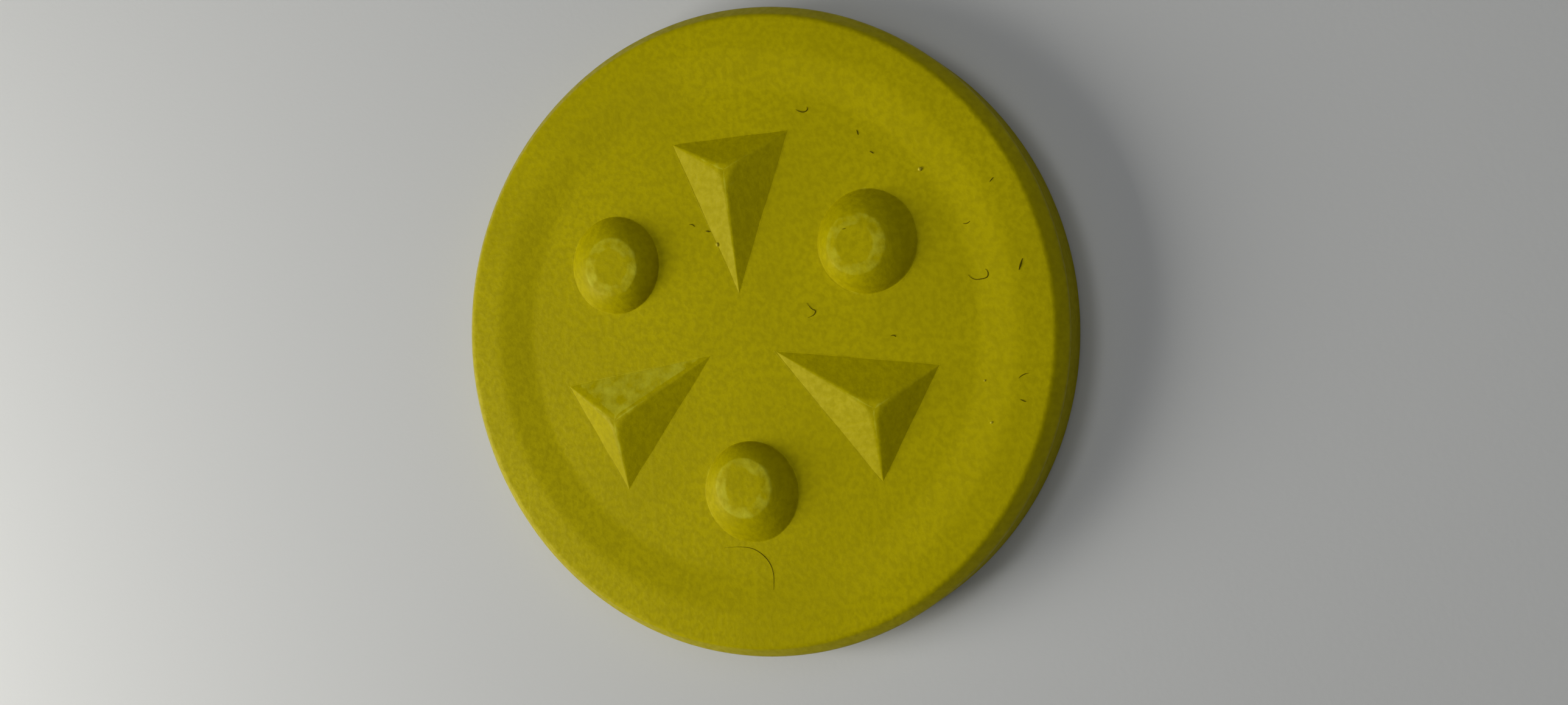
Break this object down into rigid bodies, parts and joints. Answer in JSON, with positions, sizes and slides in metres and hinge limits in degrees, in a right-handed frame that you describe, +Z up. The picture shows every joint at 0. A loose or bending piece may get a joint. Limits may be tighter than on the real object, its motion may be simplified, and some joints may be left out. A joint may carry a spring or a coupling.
{
  "type": "dealer button",
  "caption": "Round table token with a slanted shoulder, a flat rim and a shallow dished face carrying flat-topped domes and blunt triangular pyramids.",
  "frame": {"origin": "centre of the round underside, where the button rests on the table", "axes": "+Z up out of the face, +Y from the centre through the first pyramid stud"},
  "size_m": [0.05, 0.05, 0.0066],
  "materials": {
    "sprayed_disc": "olive yellow sprayed satin coat over moulded plastic",
    "sprayed_ring": "olive yellow sprayed satin coat over moulded plastic",
    "sprayed_dome": "olive yellow sprayed satin coat, rubbed pale round the crown",
    "sprayed_pyramid": "olive yellow sprayed satin coat, rubbed pale along the ridges"
  },
  "bodies": {
    "root": {"base_disc": "sprayed_disc", "rim_ring": "sprayed_ring", "dome_stud_1": "sprayed_dome", "dome_stud_2": "sprayed_dome", "dome_stud_3": "sprayed_dome", "pyramid_stud_1": "sprayed_pyramid", "pyramid_stud_2": "sprayed_pyramid", "pyramid_stud_3": "sprayed_pyramid"}
  },
  "joints": []
}
